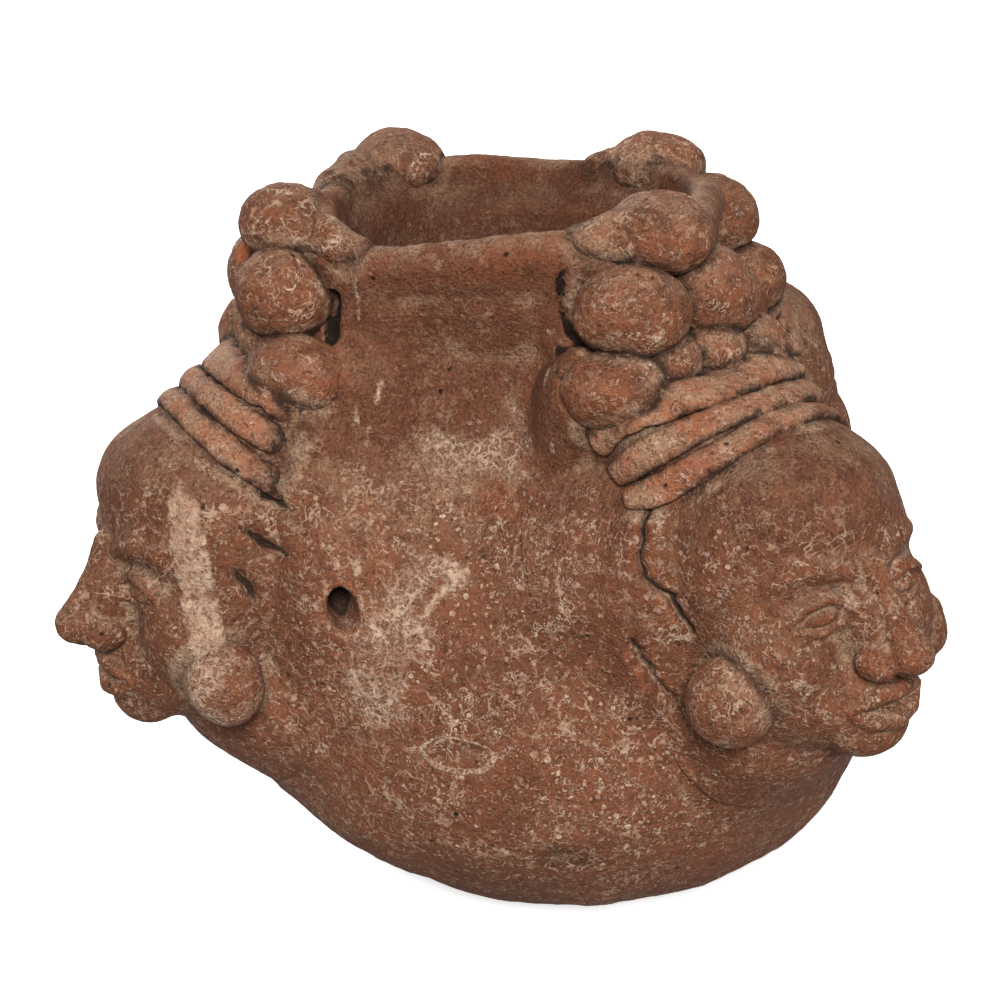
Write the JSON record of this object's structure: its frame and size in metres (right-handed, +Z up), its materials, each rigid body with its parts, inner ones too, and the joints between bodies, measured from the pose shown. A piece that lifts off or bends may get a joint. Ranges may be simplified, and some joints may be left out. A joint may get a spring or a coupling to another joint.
{
  "type": "face vase",
  "caption": "Hand-built terracotta flower vessel: round bowl, flared neck and moulded heads luted round it, each with headbands, clay pellets and ear spools.",
  "frame": {"origin": "centre of the flat foot, on the surface the vase stands on", "axes": "+Z up out of the mouth; the picture looks along +Y, so -Y is its front"},
  "size_m": [0.1641, 0.1611, 0.1422],
  "materials": {
    "clay_bowl": "matte, unglazed",
    "clay_neck": "matte, unglazed",
    "clay_face": "matte, unglazed",
    "clay_band": "matte, unglazed",
    "clay_pellet": "matte, unglazed",
    "clay_spool": "matte, unglazed"
  },
  "bodies": {
    "root": {"bowl": "clay_bowl", "neck_collar": "clay_neck", "front_left_face": "clay_face", "front_left_headband_lower": "clay_band", "front_left_headband_upper": "clay_band", "front_left_headband_brim": "clay_band", "front_left_pellet_outer_left": "clay_pellet", "front_left_pellet_outer_right": "clay_pellet", "front_left_pellet_inner_left": "clay_pellet", "front_left_pellet_inner_right": "clay_pellet", "front_left_pellet_upper_left": "clay_pellet", "front_left_pellet_upper_right": "clay_pellet", "front_left_pellet_lip": "clay_pellet", "front_left_ear_spool_left": "clay_spool", "front_left_ear_spool_right": "clay_spool", "front_right_face": "clay_face", "front_right_headband_lower": "clay_band", "front_right_headband_upper": "clay_band", "front_right_headband_brim": "clay_band", "front_right_pellet_outer_left": "clay_pellet", "front_right_pellet_outer_right": "clay_pellet", "front_right_pellet_inner_left": "clay_pellet", "front_right_pellet_inner_right": "clay_pellet", "front_right_pellet_upper_left": "clay_pellet", "front_right_pellet_upper_right": "clay_pellet", "front_right_pellet_lip": "clay_pellet", "front_right_ear_spool_left": "clay_spool", "front_right_ear_spool_right": "clay_spool", "back_right_face": "clay_face", "back_right_headband_lower": "clay_band", "back_right_headband_upper": "clay_band", "back_right_headband_brim": "clay_band", "back_right_pellet_outer_left": "clay_pellet", "back_right_pellet_outer_right": "clay_pellet", "back_right_pellet_inner_left": "clay_pellet", "back_right_pellet_inner_right": "clay_pellet", "back_right_pellet_upper_left": "clay_pellet", "back_right_pellet_upper_right": "clay_pellet", "back_right_pellet_lip": "clay_pellet", "back_right_ear_spool_left": "clay_spool", "back_right_ear_spool_right": "clay_spool", "back_left_face": "clay_face", "back_left_headband_lower": "clay_band", "back_left_headband_upper": "clay_band", "back_left_headband_brim": "clay_band", "back_left_pellet_outer_left": "clay_pellet", "back_left_pellet_outer_right": "clay_pellet", "back_left_pellet_inner_left": "clay_pellet", "back_left_pellet_inner_right": "clay_pellet", "back_left_pellet_upper_left": "clay_pellet", "back_left_pellet_upper_right": "clay_pellet", "back_left_pellet_lip": "clay_pellet", "back_left_ear_spool_left": "clay_spool", "back_left_ear_spool_right": "clay_spool"}
  },
  "joints": []
}
